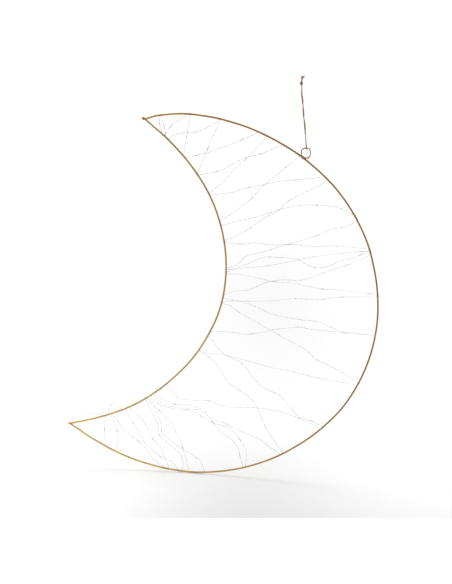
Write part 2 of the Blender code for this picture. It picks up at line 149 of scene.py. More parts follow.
print("hoop centre in mm:", [round(MM_PER_METRE * part, 1) for part in HOOP_CENTRE])

# %% [markdown]
# ## The camera
#
# The photograph was taken from a little above and a little to the right of the moon, from so far
# away that the hoop hardly tapers. The angles and the distance come from fitting a camera to the
# hoop, which is so nearly a circle that its picture fixes the view.

# %% The camera
IMAGE_HEIGHT = 584
FOCAL_PIXELS = 1524.8
CAMERA_ELEVATION = 19.82
CAMERA_YAW = 8.72
CAMERA_DISTANCE = 1.6
CAMERA_TARGET = HOOP_CENTRE + Vector((0.0407, 0.0, 0.0118))
# The picture is upright, so the sensor's width lies along its height
SENSOR_WIDTH = 36.0

elevation = math.radians(CAMERA_ELEVATION)
yaw = math.radians(CAMERA_YAW)
sight = Vector(
    (math.sin(yaw) * math.cos(elevation), -math.cos(yaw) * math.cos(elevation), math.sin(elevation))
)
bpy.ops.object.camera_add(location=CAMERA_TARGET + CAMERA_DISTANCE * sight)
camera = bpy.context.object
camera.name = "photograph_camera"
camera.rotation_euler = sight.to_track_quat("Z", "Y").to_euler()
camera.data.sensor_width = SENSOR_WIDTH
camera.data.lens = SENSOR_WIDTH * FOCAL_PIXELS / IMAGE_HEIGHT
bpy.context.scene.camera = camera
print(f"lens {camera.data.lens:.1f} mm at {CAMERA_DISTANCE} m")

# %% [markdown]
# ## Helpers for modelling
#
# Operators work on whatever is selected, and the CAD nodes come in selected, so every piece starts
# with nothing selected. A finished piece has its place in its mesh, a material, a body to ride on,
# and the CAD nodes that it stands for.

# %% Helpers for modelling
def clear_selection():
    bpy.ops.object.select_all(action="DESELECT")


def make_active(piece):
    clear_selection()
    piece.select_set(True)
    bpy.context.view_layer.objects.active = piece


def close_mesh(piece, merge=0.00001):
    """Weld the doubles of a piece and turn its faces outwards."""
    make_active(piece)
    bpy.ops.object.mode_set(mode="EDIT")
    bpy.ops.mesh.select_all(action="SELECT")
    bpy.ops.mesh.remove_doubles(threshold=merge)
    bpy.ops.mesh.normals_make_consistent(inside=False)
    bpy.ops.object.mode_set(mode="OBJECT")


def settle(piece, name):
    """Name the piece and put its place into its mesh."""
    make_active(piece)
    bpy.ops.object.transform_apply(location=True, rotation=True, scale=True)
    piece.name = name
    piece.data.name = name


def finish_piece(piece, name, material, slot, body, *nodes):
    """Settle the piece, paint it, mount it on its body, and hide the CAD nodes it stands for."""
    settle(piece, name)
    piece.data.materials.clear()
    piece.data.materials.append(material)
    if nodes:
        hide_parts(*nodes)
    if body:
        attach(piece, body)
    triangles = sum(len(face.vertices) - 2 for face in piece.data.polygons)
    print(f"{name}: {triangles} triangles")
    return piece


def strands(name, lines, radius, sides, merge=0.00001):
    """A round strand of this radius along each line of points, all in one closed mesh.

    A point is a place, or a place with a share of the radius.
    """
    curve = bpy.data.curves.new(name, "CURVE")
    curve.dimensions = "3D"
    curve.bevel_depth = radius
    curve.bevel_resolution = sides // 2 - 2
    curve.use_fill_caps = True
    for line in lines:
        spline = curve.splines.new("POLY")
        spline.points.add(len(line) - 1)
        spline.use_smooth = True
        for knot, point in zip(spline.points, line):
            place, width = point if isinstance(point, tuple) else (point, 1.0)
            knot.co = (*place, 1.0)
            knot.radius = width
    piece = bpy.data.objects.new(name, curve)
    bpy.context.scene.collection.objects.link(piece)
    make_active(piece)
    bpy.ops.object.convert(target="MESH")
    close_mesh(bpy.context.object, merge)
    bpy.ops.object.shade_smooth()
    return bpy.context.object


# %% [markdown]
# ## Helpers for lines
#
# A curve that must pass through given points is drawn as a Catmull-Rom line, which leaves each
# point in the direction of its two neighbours. The distance travelled along a line gives the
# place of a lamp on the string or a ply in the twine.

# %% Helpers for lines
def smooth(points, steps=8):
    """Catmull-Rom points through the given ones."""
    line = [2 * points[0] - points[1], *points, 2 * points[-1] - points[-2]]
    out = []
    for a, b, c, d in zip(line, line[1:], line[2:], line[3:]):
        for step in range(steps):
            t = step / steps
            bend = (2 * a - 5 * b + 4 * c - d) * t**2 + (3 * b - a - 3 * c + d) * t**3
            out.append(0.5 * (2 * b + (c - a) * t + bend))
    return [*out, points[-1]]


def travelled(points):
    """The distance along the points to each of them."""
    run = [0.0]
    for before, after in zip(points, points[1:]):
        run.append(run[-1] + (after - before).length)
    return run


def along_line(points, run, distance):
    """The point at this distance along the points, and the direction there."""
    number = min(max(bisect_left(run, distance), 1), len(points) - 1)
    before, after = points[number - 1], points[number]
    share = (distance - run[number - 1]) / (run[number] - run[number - 1])
    return before.lerp(after, share), (after - before).normalized()


def side_vectors(points):
    """For each point, a vector square to the line that turns no more than the line does."""
    heading = (points[1] - points[0]).normalized()
    side = heading.orthogonal().normalized()
    sides = []
    for number in range(len(points)):
        before = points[max(number - 1, 0)]
        after = points[min(number + 1, len(points) - 1)]
        turned = (after - before).normalized()
        side.rotate(heading.rotation_difference(turned))
        side = (side - side.dot(turned) * turned).normalized()
        heading = turned
        sides.append((side.copy(), heading.cross(side)))
    return sides


def twisted(points, plies, offset, pitch, phase=0.0):
    """The lines of several plies that turn about a line of points, one turn in each pitch."""
    run = travelled(points)
    lines = [[] for _ in range(plies)]
    for point, distance, (side, over) in zip(points, run, side_vectors(points)):
        for number, line in enumerate(lines):
            angle = phase + 2 * math.pi * (distance / pitch + number / plies)
            line.append(point + offset * (math.cos(angle) * side + math.sin(angle) * over))
    return lines


# %% [markdown]
# ## Helpers for materials
#
# Colours are written as the sRGB hex values that a picture shows and turned to the linear values
# that the shader takes. Pattern sizes are written in millimetres. One function adds a node. The
# others build a look from several: a soft pattern, layers of colour, and what the shader is fed.

# %% Helpers for materials
def colour(hex_value):
    """An sRGB hex colour as the linear one that the shader takes."""
    channels = [int(hex_value[place : place + 2], 16) / 255 for place in (1, 3, 5)]
    linear = [part / 12.92 if part <= 0.04045 else ((part + 0.055) / 1.055) ** 2.4 for part in channels]
    return (*linear, 1.0)


def add_node(material, kind, inputs=None, **settings):
    """Add a node with its settings. An input is a value, a hex colour or the output that feeds it."""
    node = material.node_tree.nodes.new(kind)
    for name, value in settings.items():
        setattr(node, name, value)
    for socket, value in (inputs or {}).items():
        if isinstance(value, bpy.types.NodeSocket):
            material.node_tree.links.new(value, node.inputs[socket])
        else:
            node.inputs[socket].default_value = colour(value) if isinstance(value, str) else value
    return node


def start_material(name, **values):
    """A material, with the values of its shader's sockets, and its coordinates on the piece."""
    material = bpy.data.materials.new(name)
    material.use_nodes = True
    shader = material.node_tree.nodes["Principled BSDF"]
    for socket, value in values.items():
        shader.inputs[socket.replace("_", " ")].default_value = value
    return material, add_node(material, "ShaderNodeTexCoord").outputs["Object"]


def soft_pattern(material, place, size_mm, detail=2.0, low=0.35, high=0.65):
    """A soft noise from 0 to 1 whose features take this many millimetres."""
    pattern = add_node(
        material,
        "ShaderNodeTexNoise",
        {"Vector": place, "Scale": MM_PER_METRE / size_mm, "Detail": detail},
    )
    spread = add_node(
        material,
        "ShaderNodeMapRange",
        {"Value": pattern.outputs["Fac"], "From Min": low, "From Max": high},
    )
    return spread.outputs["Result"]


def layered(material, ground, *layers):
    """A ground colour under layers, each with its pattern, its share at most and its colour."""
    for pattern, share, layer in layers:
        cover = add_node(material, "ShaderNodeMapRange", {"Value": pattern, "To Max": share})
        inputs = {0: cover.outputs["Result"], 6: ground, 7: layer}
        ground = add_node(material, "ShaderNodeMix", inputs, data_type="RGBA").outputs[2]
    return ground


def feed_shader(material, base_colour=None, rough=None, relief=None):
    """Feed the shader a colour, a roughness and a relief, or those of them that are given.

    rough is a pattern, and the roughness where it is 0 and where it is 1. relief is a pattern of
    height, its depth in millimetres and its strength.
    """
    feeds = {"Base Color": base_colour}
    if rough:
        inputs = dict(zip(("Value", "To Min", "To Max"), rough))
        feeds["Roughness"] = add_node(material, "ShaderNodeMapRange", inputs).outputs["Result"]
    if relief:
        height, depth_mm, strength = relief
        inputs = {"Height": height, "Distance": depth_mm / MM_PER_METRE, "Strength": strength}
        feeds["Normal"] = add_node(material, "ShaderNodeBump", inputs).outputs["Normal"]
    shader = material.node_tree.nodes["Principled BSDF"]
    for socket, output in feeds.items():
        if output:
            material.node_tree.links.new(output, shader.inputs[socket])


# %% [markdown]
# ## Lacquered steel
#
# The rods are mild steel wire with a thin gold lacquer. It is sprayed, so the colour is a little
# cloudy along a rod, with darker specks where dust stuck. Across the hoop the colour goes from
# pale at the lower left to deep at the right: a painted reflection and shade. As a metal its
# colour is all in the reflection, so the base colour is what the rod shows in white surroundings.
# The braze is lacquered too, but the flame has darkened the upper bead.

# %% Lacquered steel
# Where the painted shade deepens the gold, and how far it reaches from the centre,
# as a share of the hoop's width
SHADED_SIDE_HEADING = 20.0
SHADED_SIDE_REACH = 0.38


def lacquer(name, pale, deep, dark, roughness):
    """Gold lacquer with a painted shade that goes from pale to deep along a line across the hoop."""
    material, place = start_material(name, Metallic=1.0)
    centred = add_node(material, "ShaderNodeMapping", {"Vector": place, "Location": -HOOP_CENTRE})
    across = add_node(
        material,
        "ShaderNodeVectorMath",
        {0: centred.outputs["Vector"], 1: direction(SHADED_SIDE_HEADING) / (2 * HOOP_RADIUS)},
        operation="DOT_PRODUCT",
    )
    # Painted reflection and shade: the share of the deep colour across the hoop
    depth = add_node(
        material,
        "ShaderNodeMapRange",
        {"Value": across.outputs["Value"], "From Min": -SHADED_SIDE_REACH, "From Max": SHADED_SIDE_REACH},
        interpolation_type="SMOOTHSTEP",
    )
    cloud = soft_pattern(material, place, 14.0, 3.0)
    speck = soft_pattern(material, place, 1.1, 2.0, 0.62, 0.72)
    layers = (depth.outputs["Result"], 1.0, deep), (cloud, 0.35, dark), (speck, 0.5, dark)
    orange_peel = soft_pattern(material, place, 0.5, 3.0)
    rough = (cloud, roughness - 0.05, roughness + 0.07)
    feed_shader(material, layered(material, pale, *layers), rough, (orange_peel, 0.03, 0.5))
    return material


# The second colour of each lacquer is the deep end of the painted shade
rod_lacquer = lacquer("gold_lacquered_steel", "#D2AC50", "#986C1C", "#664612", 0.32)
bead_lacquer = lacquer("gold_lacquered_braze", "#C08C44", "#B08040", "#6C4C24", 0.38)
scorched_lacquer = lacquer("heat_darkened_braze", "#84623A", "#84623A", "#4A3424", 0.45)
print("lacquers:", rod_lacquer.name, bead_lacquer.name, scorched_lacquer.name)

# %% Sawn steel
# A sawn end is bare steel that has gone dark, so it is dull and grey-brown beside the lacquer.
sawn_steel, place = start_material("sawn_bare_steel", Metallic=1.0)
scratch = soft_pattern(sawn_steel, place, 0.3, 3.0)
sawn_colour = layered(sawn_steel, "#5A4E42", (scratch, 1.0, "#3C332B"))
feed_shader(sawn_steel, sawn_colour, (scratch, 0.45, 0.6), (scratch, 0.03, 0.6))

# %% [markdown]
# ## The hoop
#
# The hoop is one rod, bent round a former. The best way to a bent rod of constant bend is the one
# that a bending machine uses: the round section is spun about the hoop's centre. The section
# starts 2 mm past the upper horn, and stops where the hoop butts on the inner rod at the lower
# horn. Then each vertex moves by the wave at its angle. Sawn ends have a small chamfer.

# %% The hoop
ROD_SIDES = 16
HOOP_STEP = 1.0
CHAMFER = 0.00025
SAWN_REACH = 0.0011
ROD_SHARP_EDGE = math.radians(40.0)
# How far short of the inner rod's centreline the hoop ends, where it butts against its side
meeting = math.radians(LOWER_TIP_HEADING - LOWER_TIP_ANGLE - 90.0)
butt_setback = ROD_RADIUS * (1 + math.cos(meeting)) / math.sin(meeting)


def chamfer_ends(piece):
    """Chamfer a rod's two round end faces, and shade it smooth except at their edges."""
    make_active(piece)
    bpy.ops.object.mode_set(mode="EDIT")
    bpy.ops.mesh.select_mode(type="FACE")
    bpy.ops.mesh.select_all(action="DESELECT")
    shape = bmesh.from_edit_mesh(piece.data)
    for face in shape.faces:
        face.select_set(len(face.verts) == ROD_SIDES)
    bmesh.update_edit_mesh(piece.data)
    bpy.ops.mesh.bevel(offset=CHAMFER, segments=2)
    bpy.ops.object.mode_set(mode="OBJECT")
    bpy.ops.object.shade_smooth_by_angle(angle=ROD_SHARP_EDGE)


def bare_ends(piece, ends):
    """Give the faces that lie close to an end point the sawn steel."""
    piece.data.materials.append(sawn_steel)
    for face in piece.data.polygons:
        nearest = min((face.center - end).length for end in ends)
        if nearest < SAWN_REACH:
            face.material_index = 1


first_angle = UPPER_TIP_ANGLE + math.degrees(HOOP_OVERRUN / HOOP_RADIUS)
last_angle = LOWER_TIP_ANGLE + math.degrees(butt_setback / HOOP_RADIUS)
clear_selection()
bpy.ops.mesh.primitive_circle_add(
    vertices=ROD_SIDES,
    radius=ROD_RADIUS,
    fill_type="NGON",
    location=HOOP_CENTRE + HOOP_RADIUS * direction(first_angle),
    rotation=(0.0, math.radians(-first_angle), 0.0),
)
hoop = bpy.context.object
settle(hoop, "hoop_rod")
bpy.ops.object.mode_set(mode="EDIT")
bpy.ops.mesh.select_all(action="SELECT")
bpy.ops.mesh.spin(
    steps=round((first_angle - last_angle) / HOOP_STEP),
    angle=math.radians(last_angle - first_angle),
    center=HOOP_CENTRE,
    axis=(0.0, 1.0, 0.0),
)
bpy.ops.object.mode_set(mode="OBJECT")
for vertex in hoop.data.vertices:
    away = vertex.co - HOOP_CENTRE
    angle = math.degrees(math.atan2(away.z, away.x))
    vertex.co += wave(HOOP_WAVES, angle) * direction(angle)
close_mesh(hoop)
chamfer_ends(hoop)
finish_piece(hoop, "hoop_rod", rod_lacquer, "gold_rod", "moon", "outer_arc")
bare_ends(hoop, [hoop_point(first_angle), hoop_point(last_angle)])
print("hoop ends at", [round(MM_PER_METRE * part, 1) for part in hoop_point(last_angle)], "mm")

# %% [markdown]
# ## The inner rod
#
# The inner rod was bent by hand, so its curve isn't a circle. A Bezier curve holds it with three
# control points: the two horns and the belly. Its waves are added across it, and it passes both
# horns by 2 mm. The curve gets a round bevel, becomes a mesh, and its ends are closed and
# chamfered like those of the hoop.

# %% The inner rod
INNER_STEPS = 48
belly = HOOP_CENTRE + Vector((BELLY[0], 0.0, BELLY[1]))
upper_tip = hoop_point(UPPER_TIP_ANGLE)
lower_tip = hoop_point(LOWER_TIP_ANGLE)
UP = Vector((0.0, 0.0, 1.0))
above_belly = geometry.interpolate_bezier(
    upper_tip,
    upper_tip + UPPER_TIP_REACH * direction(UPPER_TIP_HEADING),
    belly + BELLY_REACH_UP * UP,
    belly,
    INNER_STEPS,
)
below_belly = geometry.interpolate_bezier(
    belly,
    belly - BELLY_REACH_DOWN * UP,
    lower_tip + LOWER_TIP_REACH * direction(LOWER_TIP_HEADING),
    lower_tip,
    INNER_STEPS,
)
plain_line = above_belly + below_belly[1:]
plain_run = travelled(plain_line)
inner_line = []
for point, run in zip(plain_line, plain_run):
    heading = along_line(plain_line, plain_run, run)[1]
    right = Vector((-heading.z, 0.0, heading.x))
    inner_line.append(point + wave(INNER_WAVES, 100 * run / plain_run[-1]) * right)
inner_run = travelled(inner_line)
inner_length = inner_run[-1]
upper_end = inner_line[0] + (inner_line[0] - inner_line[1]).normalized() * INNER_OVERRUN
lower_end = inner_line[-1] + (inner_line[-1] - inner_line[-2]).normalized() * INNER_OVERRUN
inner = strands("inner_rod", [[upper_end, *inner_line, lower_end]], ROD_RADIUS, ROD_SIDES)
chamfer_ends(inner)
finish_piece(inner, "inner_rod", rod_lacquer, "gold_rod", "moon", "inner_arc")
bare_ends(inner, [upper_end, lower_end])
print(f"inner rod {MM_PER_METRE * inner_length:.0f} mm long")

# %% [markdown]
# ## Beads of braze
#
# Each horn is closed by a drop of braze that ran into the crotch of the two rods, and the ring
# stands on another. The upper drop sits at the very tip. A drop is a ball stretched along the
# joint. Surface tension makes it smooth and slightly uneven, which a displacement by cloud noise
# gives.

# %% Beads of braze
UPPER_BEAD = (0.0048, 0.0026, 0.0023)
LOWER_BEAD = (0.0038, 0.0024, 0.0023)
UPPER_BEAD_PLACE = Vector((-0.0012, 0.0, 0.0004))
LOWER_BEAD_INSET = 0.0006
RING_BEAD = (0.0042, 0.0026, 0.0024)
RING_BEAD_RISE = 0.0005
BEAD_WAVE = 0.0018
BEAD_UNEVEN = 0.0005


def build_bead(name, centre, along, size, node, finish=bead_lacquer):
    """A drop of braze of this length, depth and height, its length pointing along."""
    clear_selection()
    bpy.ops.mesh.primitive_ico_sphere_add(subdivisions=4, radius=0.5, location=centre)
    bead = bpy.context.object
    up = along.cross(-FRONT).normalized()
    turn = Matrix((along, -FRONT, up)).transposed().to_4x4()
    bead.matrix_world = Matrix.Translation(centre) @ turn @ Matrix.Diagonal((*size, 1.0))
    settle(bead, name)
    clouds = bpy.data.textures.new(f"{name}_clouds", "CLOUDS")
    clouds.noise_scale = BEAD_WAVE
    uneven = bead.modifiers.new("uneven", "DISPLACE")
    uneven.texture = clouds
    uneven.texture_coords = "LOCAL"
    uneven.strength = BEAD_UNEVEN
    bpy.ops.object.modifier_apply(modifier="uneven")
    bpy.ops.object.shade_smooth()
    return finish_piece(bead, name, finish, "weld_bead", "moon", node)


def crotch(hoop_heading, rod_heading):
    """The direction midway between the two rods of a horn."""
    return (direction(hoop_heading) + direction(rod_heading)).normalized()


upper_crotch = crotch(UPPER_TIP_ANGLE - 90.0, UPPER_TIP_HEADING)
lower_crotch = crotch(LOWER_TIP_ANGLE + 90.0, LOWER_TIP_HEADING)
upper_middle = inner_line[0] + UPPER_BEAD_PLACE
lower_middle = inner_line[-1] + LOWER_BEAD_INSET * lower_crotch
ring_foot = (RING_BEAD_RISE - RING_SEAT) * direction(RING_ANGLE)
build_bead(
    "upper_horn_bead", upper_middle, upper_crotch, UPPER_BEAD, "upper_tip_weld", scorched_lacquer
)
build_bead("lower_horn_bead", lower_middle, lower_crotch, LOWER_BEAD, "lower_tip_weld")
build_bead("ring_foot_bead", ring_foot, direction(RING_ANGLE + 90.0), RING_BEAD, "ring_weld")

# %% [markdown]
# ## The hanging ring
#
# The ring is a loop of brass wire that stands on the hoop. It starts as a torus. The wire that
# would lie inside the hoop is cut away by a bisecting plane, and the cut is closed. The loop was
# closed by hand, so it is slimmer than high and a little square. The brass is brown, with a
# painted highlight on its right side.

# %% Brass wire
# The pale right side of the ring is a painted highlight: its heading, and where it fades in
HIGHLIGHT_HEADING = 25.0
HIGHLIGHT_FROM = 0.6 * RING_RADIUS
HIGHLIGHT_TO = 0.95 * RING_RADIUS
brass, place = start_material("drawn_brass_wire", Metallic=1.0, Coat_Weight=0.15)
side_of_ring = add_node(
    brass, "ShaderNodeVectorMath", {0: place, 1: direction(HIGHLIGHT_HEADING)}, operation="DOT_PRODUCT"
)
# The share of the painted highlight, pale on the ring's right side
painted_highlight = add_node(
    brass,
    "ShaderNodeMapRange",
    {"Value": side_of_ring.outputs["Value"], "From Min": HIGHLIGHT_FROM, "From Max": HIGHLIGHT_TO},
)
patch = soft_pattern(brass, place, 2.5, 3.0)
layers = (painted_highlight.outputs["Result"], 1.0, "#BEB088"), (patch, 0.35, "#6A5232")
draw_marks = soft_pattern(brass, place, 0.3)
feed_shader(brass, layered(brass, "#826644", *layers), (patch, 0.25, 0.42), (draw_marks, 0.01, 0.4))

# %% The hanging ring
# The width as a share of the height, and how square the loop is, where 2 is round
RING_SLIMNESS = 0.90
RING_SQUARENESS = 2.4
RING_SHARP_EDGE = math.radians(50.0)
clear_selection()
bpy.ops.mesh.primitive_torus_add(
    major_segments=64,
    minor_segments=14,
    major_radius=RING_RADIUS,
    minor_radius=RING_WIRE / 2,
    rotation=(math.radians(90.0), 0.0, 0.0),
)
ring = bpy.context.object
settle(ring, "ring")
bpy.ops.object.mode_set(mode="EDIT")
bpy.ops.mesh.select_all(action="SELECT")
cut_place = -(RING_OUTER_RADIUS - RING_BITE) * direction(RING_ANGLE)
bpy.ops.mesh.bisect(
    plane_co=cut_place, plane_no=-direction(RING_ANGLE), use_fill=True, clear_outer=True
)
bpy.ops.object.mode_set(mode="OBJECT")
for vertex in ring.data.vertices:
    round_reach = math.hypot(vertex.co.x, vertex.co.z)
    corner = sum(abs(part / round_reach) ** RING_SQUARENESS for part in (vertex.co.x, vertex.co.z))
    swell = corner ** (-1 / RING_SQUARENESS)
    vertex.co.z *= swell
    vertex.co.x *= swell * RING_SLIMNESS
close_mesh(ring)
bpy.ops.object.shade_smooth_by_angle(angle=RING_SHARP_EDGE)
finish_piece(ring, "ring", brass, "ring_wire", "moon", "hanging_ring")

# %% [markdown]
# ## The light string's route
#
# The string is two lacquered copper wires, twisted loosely, with a resin drop every 50 mm. It was
# wound by hand from the inner rod to the hoop and back. Each run is given by where it leaves the
# hoop, where it reaches the inner rod, the place of its first lamp and the bows that it makes. At
# each end it takes a few close turns round the rod.

# %% The light string's runs
# Each run: the angle of its outer end round the hoop, the percentage of the inner rod where its
# inner end lies, the distance of its first lamp from the hoop, and its bows. A bow is a
# percentage of the way to the inner rod, and how far the wire lies left of the straight line.
RUNS = [
    (-118.0, 90.8, 0.020, [(60, 0.0010)]),
    (-114.7, 90.0, 0.024, [(12, -0.0030), (42, -0.0058), (67, -0.0050)]),
    (-97.6, 89.2, 0.044, [(21, 0.0025), (32, -0.0005), (54, 0.0005), (71, 0.0033), (86, 0.0014)]),
    (-96.6, 84.8, 0.038, [(28, -0.0048), (48, -0.0034), (62, -0.0051), (76, -0.0050)]),
    (-93.3, 85.7, 0.026,
     [(14, -0.0010), (24, 0.0040), (33, 0.0064), (54, 0.0086), (70, 0.0052), (85, 0.0024)]),
    (-92.2, 80.0, 0.050,
     [(13, -0.0060), (24, -0.0050), (45, 0.0030), (53, 0.0052), (66, 0.0008), (82, 0.0008)]),
    (-90.0, 79.3, 0.030,
     [(25, -0.0066), (52, -0.0095), (65, -0.0096), (77, -0.0064), (91, -0.0010)]),
    (-85.2, 78.6, 0.019,
     [(12, -0.0033), (24, 0.0009), (39, 0.0085), (53, 0.0130), (60, 0.0136), (70, 0.0085),
      (84, 0.0040)]),
    (-71.9, 78.2, 0.035,
     [(9, -0.0164), (22, -0.0238), (30, -0.0262), (39, -0.0232), (48, -0.0178), (63, -0.0158),
      (73, -0.0072), (80, -0.0026), (90, 0.0028)]),
    (-72.8, 77.0, 0.014,
     [(9, -0.0082), (15, -0.0132), (24, -0.0166), (37, -0.0149), (55, -0.0202), (63, -0.0198),
      (71, -0.0154), (79, -0.0052), (89, -0.0004)]),
    (-43.8, 72.9, 0.026,
     [(10, -0.0036), (27, -0.0057), (44, -0.0012), (60, 0.0066), (72, 0.0062), (84, 0.0119),
      (91, 0.0134), (96, 0.0080)]),
    (-43.2, 57.2, 0.014,
     [(9, 0.0030), (17, 0.0079), (28, 0.0050), (37, 0.0027), (49, 0.0077), (58, 0.0057),
      (69, 0.0012), (78, 0.0036), (86, 0.0050)]),
    (-7.8, 55.8, 0.032,
     [(23, -0.0025), (38, -0.0048), (46, -0.0070), (60, -0.0036), (76, 0.0024), (88, 0.0005)]),
    (-8.3, 47.3, 0.031,
     [(9, 0.0010), (22, 0.0043), (36, -0.0002), (50, 0.0026), (66, 0.0040), (76, 0.0010),
      (87, -0.0015)]),
    (18.2, 46.3, 0.027,
     [(7, 0.0041), (31, 0.0065), (48, 0.0075), (60, 0.0014), (70, 0.0000), (83, 0.0020),
      (92, -0.0006)]),
    (18.5, 40.3, 0.009, [(12, -0.0017), (39, -0.0018), (60, 0.0003), (73, 0.0016), (86, 0.0008)]),
    (28.8, 39.9, 0.045,
     [(9, 0.0018), (19, -0.0012), (31, 0.0001), (54, -0.0020), (70, -0.0030), (82, -0.0052),
      (91, -0.0002)]),
    (30.4, 29.9, 0.041,
     [(6, -0.0049), (13, -0.0102), (30, -0.0147), (45, -0.0149), (56, -0.0120), (70, -0.0074),
      (88, -0.0033)]),
    (54.4, 28.4, 0.018, [(34, 0.0004), (48, 0.0006), (60, 0.0031), (72, 0.0031), (87, 0.0028)]),
    (60.2, 17.2, 0.026, [(26, 0.0013), (44, -0.0007), (61, 0.0014), (74, 0.0033)]),
    (79.8, 16.5, 0.034, [(51, 0.0002), (88, 0.0012)]),
    (80.7, 6.9, 0.029, [(7, 0.0033), (41, 0.0044), (62, 0.0012), (86, -0.0024)]),
    (97.4, 6.4, 0.011, [(50, 0.0006)]),
    (98.2, 5.0, 0.009, [(50, -0.0008)]),
    (89.7, 5.8, 0.022, [(22, -0.0010), (69, -0.0030)]),
    (88.6, 11.8, 0.023, [(24, -0.0007), (70, 0.0003)]),
    (67.9, 12.4, 0.020, [(26, 0.0015), (70, 0.0024)]),
    (65.4, 21.8, 0.033, [(33, 0.0014), (59, 0.0012), (75, 0.0022)]),
    (44.6, 22.4, 0.030, [(21, -0.0017), (39, -0.0028), (68, -0.0015), (79, 0.0006)]),
    (43.8, 33.3, 0.046, [(9, 0.0009), (36, -0.0013), (48, 0.0019), (61, 0.0009), (82, 0.0028)]),
    (19.3, 33.8, 0.034,
     [(23, -0.0017), (40, 0.0000), (50, -0.0012), (67, 0.0005), (79, -0.0009), (89, 0.0012)]),
    (18.9, 40.8, 0.010,
     [(13, 0.0050), (20, 0.0060), (29, 0.0097), (37, 0.0096), (43, 0.0056), (50, -0.0028),
      (62, -0.0077), (72, -0.0102), (84, -0.0057)]),
    (4.9, 41.2, 0.008, [(22, 0.0006), (37, 0.0023), (56, 0.0004), (69, 0.0018), (87, -0.0009)]),
    (4.4, 47.9, 0.037, [(23, -0.0011), (38, 0.0011), (53, -0.0008), (68, 0.0009), (84, 0.0004)]),
    (-24.4, 48.5, 0.049,
     [(18, -0.0006), (30, 0.0016), (40, -0.0018), (58, -0.0014), (86, -0.0011), (94, -0.0021)]),
    (-25.0, 61.2, 0.043, [(25, 0.0020), (42, 0.0012), (54, 0.0020), (84, -0.0003), (94, 0.0024)]),
    (-59.0, 61.8, 0.036,
     [(13, -0.0019), (24, -0.0040), (41, -0.0110), (49, -0.0113), (57, -0.0081), (67, -0.0037),
      (79, -0.0057), (90, -0.0055)]),
    (-59.5, 77.6, 0.016,
     [(10, -0.0026), (19, -0.0056), (38, -0.0044), (46, -0.0055), (54, -0.0037), (66, -0.0062),
      (75, -0.0002), (82, 0.0025), (91, 0.0060)]),
]
print(len(RUNS), "runs")

# %% Where the string lies
WRAP_RADIUS = 0.00115
WRAP_STEP = 30.0
WRAP_PITCH = 0.0028
LED_PITCH = 0.050
LED_END_ROOM = 0.006
KINK = 0.00035
KINK_LENGTH = 0.011
# The noise behind the kinks starts from the clock, so it gets a seed to be the same each time
KINK_SEED = 7
noise.seed_set(KINK_SEED)
WHOLE_TURN_AFTER_RUN = 24
LOOSE_LOOP_AFTER_RUN = 2
# The loose loop: percentages of the inner rod, and how far off the rod the wire is there
LOOSE_LOOP = [
    (90.2, 0.0014), (89.4, 0.0060), (88.1, 0.0108), (87.7, 0.0102), (87.0, 0.0062), (86.2, 0.0030),
]
RING_LOOP_AFTER_RUN = 19
# The loop by the ring: places in the moon's plane, from the ring's centre
RING_LOOP = [
    (-0.0014, -0.0043), (0.0002, -0.0022), (0.0025, 0.0020), (0.0036, 0.0036), (0.0044, 0.0064),
    (0.0047, 0.0066), (0.0047, 0.0050), (0.0044, 0.0034), (0.0051, 0.0010), (0.0046, -0.0022),
    (0.0028, -0.0056),
]
# It stands so far in front of the moon's plane that the twine can slide along the ring behind it
RING_LOOP_STAND = 0.00235
RING_LOOP_FROM = 52.9
RING_LOOP_TO = 51.4
FEED_END = [(95.2, 0.0073), (93.7, 0.0058), (92.3, 0.0042)]
TAIL_END = [(76.6, 0.0022), (75.4, 0.0030)]


def hoop_seat(angle):
    """A place on the hoop's centreline, and the direction out of the moon there."""
    return hoop_point(angle), direction(angle)


def inner_seat(percent):
    """A place on the inner rod's centreline, and the direction off it into the hollow."""
    point, heading = along_line(inner_line, inner_run, inner_length * percent / 100)
    return point, Vector((heading.z, 0.0, -heading.x))


def kinked(line):
    """The line with the small kinks that a fine wire keeps, none at its two ends."""
    run = travelled(line)
    out = []
    for point, distance in zip(line, run):
        hold = math.sin(math.pi * distance / run[-1]) ** 0.5 if 0 < distance < run[-1] else 0.0
        out.append(point + KINK * hold * noise.noise_vector(point / KINK_LENGTH))
    return out


def run_line(run, side):
    """The points of one run, from the hoop to the inner rod."""
    angle, percent, _, bows = run
    start = hoop_point(angle) + WRAP_RADIUS * side
    end = inner_seat(percent)[0] + WRAP_RADIUS * side
    left = FRONT.cross(end - start).normalized()
    route = [start, *(start.lerp(end, share / 100) + bow * left for share, bow in bows), end]
    return kinked(smooth(route))


def wrap_line(seat, first, last, side, turns):
    """Close turns round a rod, from the end of one run to the start of the next."""
    steps = round(360.0 * turns / WRAP_STEP)
    points = []
    for step in range(1, steps):
        share = step / steps
        point, away = seat(first + (last - first) * share)
        turn = 2 * math.pi * turns * share
        points.append(point + WRAP_RADIUS * (math.sin(turn) * away + math.cos(turn) * side))
    return points


def loose_line(first, last, side):
    """Four close turns along the inner rod, and a loose loop that comes back over them."""
    foot = LOOSE_LOOP[0][0]
    wraps = wrap_line(inner_seat, first, foot, side, 4)
    points = [inner_seat(foot)[0] + WRAP_RADIUS * side]
    for number, (percent, off) in enumerate(LOOSE_LOOP, start=1):
        seat, away = inner_seat(percent)
        depth = WRAP_RADIUS * (1 - 2 * number / (len(LOOSE_LOOP) + 1))
        points.append(seat + off * away + depth * side)
    points.append(inner_seat(last)[0] - WRAP_RADIUS * side)
    return wraps + smooth(points, 5)[:-1]


